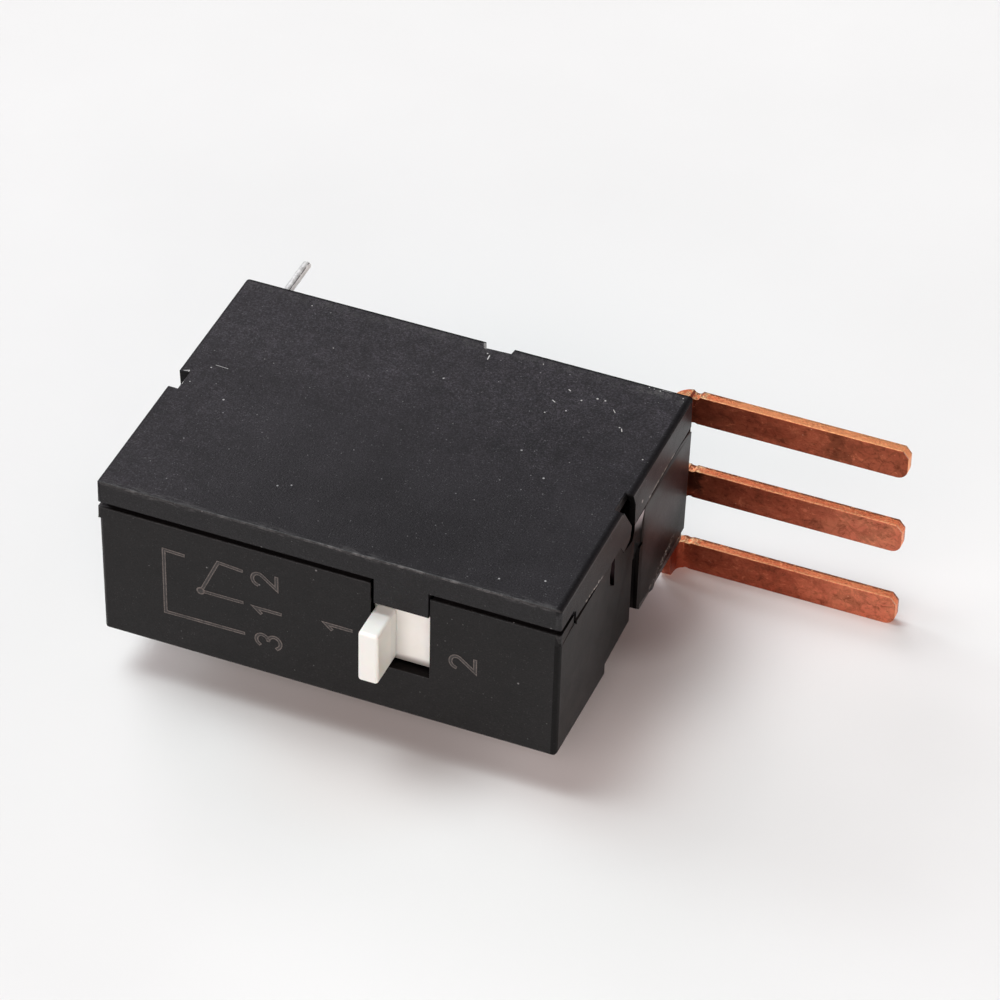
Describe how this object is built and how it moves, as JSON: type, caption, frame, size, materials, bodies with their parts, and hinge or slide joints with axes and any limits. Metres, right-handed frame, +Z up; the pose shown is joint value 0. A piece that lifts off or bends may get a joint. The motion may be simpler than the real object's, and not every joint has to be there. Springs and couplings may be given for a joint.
{
  "type": "latching relay",
  "caption": "Flat black changeover latching relay with a white hand lever in a front window, copper terminal bars on the right and coil pins at the back.",
  "frame": {"origin": "middle of the flat bottom of the base, without the terminal bars", "axes": "+X along the terminal bars, towards their free ends; +Y from the lever face to the pin face; +Z up, from the base to the cover"},
  "size_m": [0.0564, 0.0376, 0.0191],
  "materials": {
    "housing_plastic": "black moulded plastic, fine spark-eroded texture, faint dust and rubbed edges",
    "lever_plastic": "ivory-white moulded plastic, satin",
    "terminal_copper": "bare copper strip, tarnished brown on the faces and bright on the cut edges",
    "contact_silver": "silver alloy, satin",
    "spring_alloy": "copper spring alloy, satin",
    "rivet_brass": "brass, satin",
    "bobbin_plastic": "natural glass-filled plastic",
    "winding_copper": "enamelled copper wire",
    "magnet_iron": "soft iron, nickel plated",
    "magnet_grey": "sintered magnet, dark grey",
    "armature_plastic": "dark moulded plastic",
    "pin_tin": "tinned wire, satin",
    "seal_resin": "black epoxy, lumpy and half glossy"
  },
  "bodies": {
    "housing": {"base": "housing_plastic", "cover": "housing_plastic", "terminal_top": "terminal_copper", "terminal_common": "terminal_copper", "terminal_bottom": "terminal_copper", "fixed_contact_top": "contact_silver", "fixed_contact_bottom": "contact_silver", "bobbin": "bobbin_plastic", "set_winding": "winding_copper", "reset_winding": "winding_copper", "core": "magnet_iron", "front_yoke": "magnet_iron", "rear_yoke": "magnet_iron", "coil_pin_upper": "pin_tin", "coil_pin_middle": "pin_tin", "coil_pin_lower": "pin_tin", "pin_seal": "seal_resin", "terminal_seal": "seal_resin"},
    "slider": {"lever_slide": "lever_plastic"},
    "armature": {"armature_block": "armature_plastic", "magnet": "magnet_grey", "armature_plate_left": "magnet_iron", "armature_plate_right": "magnet_iron"},
    "leaf": {"contact_leaf": "spring_alloy", "moving_contact": "contact_silver", "leaf_rivet_lower": "rivet_brass", "leaf_rivet_upper": "rivet_brass"}
  },
  "joints": [
    {"name": "lever_travel", "type": "slide", "parent": "housing", "child": "slider", "axis": [1, 0, 0], "range_m": [0, 0.0031]},
    {"name": "armature_turn", "type": "hinge", "parent": "housing", "child": "armature", "pos_m": [-0.0019, 0.0023, 0.007], "axis": [0, 0, 1], "range_deg": [0, 13.49]},
    {"name": "leaf_flex", "type": "hinge", "parent": "housing", "child": "leaf", "pos_m": [0.0126, 0.0104, 0.007], "axis": [0, 0, 1], "range_deg": [0, 8.25]}
  ],
  "couplings": [
    {"joint": "armature_turn", "follows": "lever_travel", "rad_per_m": 75.933},
    {"joint": "leaf_flex", "follows": "lever_travel", "rad_per_m": 46.406}
  ]
}
